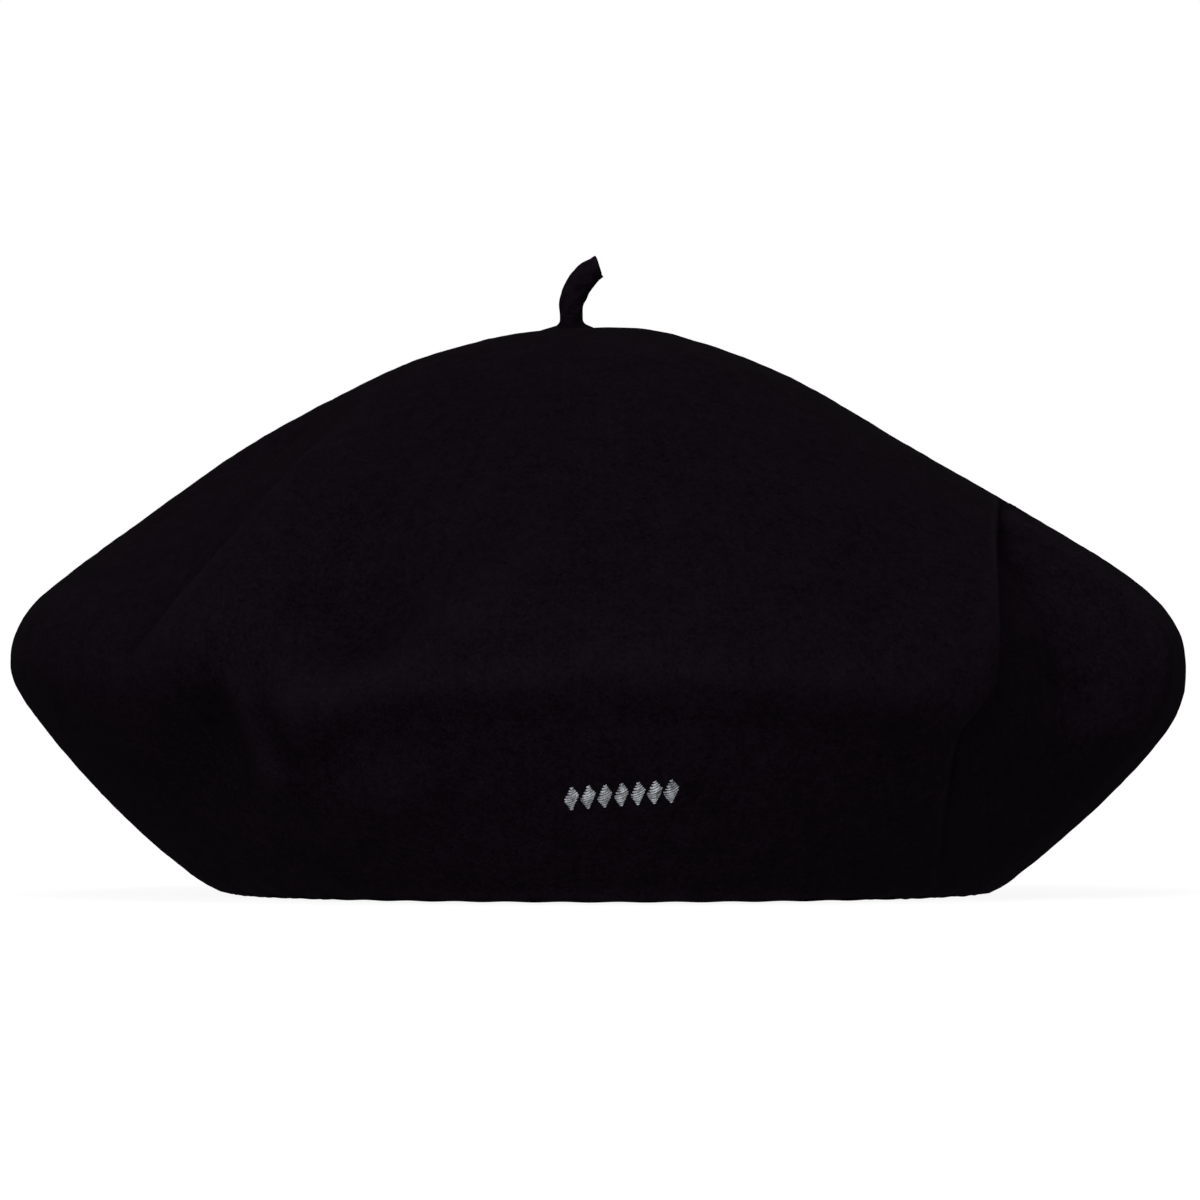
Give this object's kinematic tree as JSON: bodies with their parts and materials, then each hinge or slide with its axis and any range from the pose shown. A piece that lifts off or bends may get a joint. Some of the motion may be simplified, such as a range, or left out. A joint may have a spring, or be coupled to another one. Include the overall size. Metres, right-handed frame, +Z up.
{
  "type": "beret",
  "caption": "Round fulled-wool beret with a bent stem, a small embroidered front motif, a satin lining and a leather sweatband round the head opening.",
  "frame": {"origin": "under the middle of the crown, in the plane of the head opening's edge", "axes": "+Z up through the crown, -Y towards the embroidered front, +X to the right as the front is looked at"},
  "size_m": [0.264, 0.276, 0.1436],
  "materials": {
    "felt": "matte",
    "sewing_thread": "matte",
    "satin": "satin",
    "clear_vinyl": "gloss",
    "twill": "matte",
    "leather": "satin",
    "grosgrain": "satin",
    "label_cloth": "satin",
    "embroidery_thread": "satin",
    "backing_fleece": "matte"
  },
  "bodies": {
    "root": {"wool_body": "felt", "stem_root": "felt", "stem_tack": "sewing_thread", "lining_tip": "satin", "lining_side": "satin", "lining_shield": "clear_vinyl", "stay_tape": "twill", "sweatband": "leather", "sweatband_stitching": "sewing_thread", "bow_ribbon": "grosgrain", "bow_wrap": "grosgrain", "embroidery_lozenge_1": "embroidery_thread", "embroidery_lozenge_2": "embroidery_thread", "embroidery_lozenge_3": "embroidery_thread", "embroidery_lozenge_4": "embroidery_thread", "embroidery_lozenge_5": "embroidery_thread", "embroidery_lozenge_6": "embroidery_thread", "embroidery_lozenge_7": "embroidery_thread", "embroidery_backing": "backing_fleece"},
    "stem": {"stem": "felt"},
    "care_label": {"care_label": "label_cloth"},
    "size_tab": {"size_tab": "label_cloth"}
  },
  "joints": [
    {"name": "stem_bend", "type": "hinge", "parent": "root", "child": "stem", "pos_m": [-0.00594, 0, 0.13005], "axis": [0, 1, 0], "range_deg": [-60, 40], "stiffness_Nm_per_rad": 0.0005},
    {"name": "care_label_flap", "type": "hinge", "parent": "root", "child": "care_label", "pos_m": [-0.0761, 0, 0.031], "axis": [0, -1, 0], "range_deg": [0, 150]},
    {"name": "size_tab_flap", "type": "hinge", "parent": "root", "child": "size_tab", "pos_m": [0.07985, 0, 0.031], "axis": [0, 1, 0], "range_deg": [0, 150]}
  ]
}
